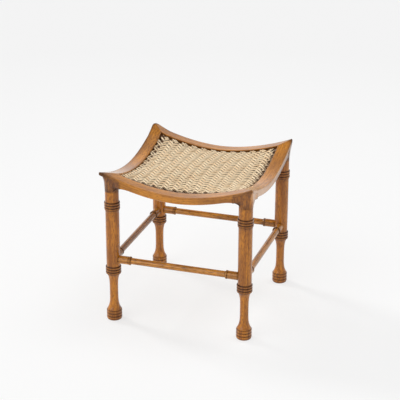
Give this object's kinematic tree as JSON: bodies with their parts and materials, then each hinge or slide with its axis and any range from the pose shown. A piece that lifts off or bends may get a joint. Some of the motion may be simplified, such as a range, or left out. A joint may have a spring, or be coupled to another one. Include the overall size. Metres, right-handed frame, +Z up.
{
  "type": "stool",
  "caption": "Square stool with turned legs and stretchers, a frame of curved seat rails rising to pointed corners, and a dished woven seat.",
  "frame": {"origin": "on the floor, under the middle of the seat", "axes": "+Z up, +X to the right along the front rail, -Y to the front"},
  "size_m": [0.4, 0.4, 0.4191],
  "materials": {
    "leg_wood": "satin oiled, darker in the grooves",
    "stretcher_wood": "satin oiled",
    "rail_wood": "satin oiled, paler on worn tops",
    "seat_cord": "matt natural cord, woven on the diagonal"
  },
  "bodies": {
    "root": {"leg_front_left": "leg_wood", "leg_front_right": "leg_wood", "leg_back_left": "leg_wood", "leg_back_right": "leg_wood", "stretcher_front": "stretcher_wood", "stretcher_back": "stretcher_wood", "stretcher_left": "stretcher_wood", "stretcher_right": "stretcher_wood", "rail_front": "rail_wood", "rail_back": "rail_wood", "rail_left": "rail_wood", "rail_right": "rail_wood", "woven_seat": "seat_cord"}
  },
  "joints": []
}
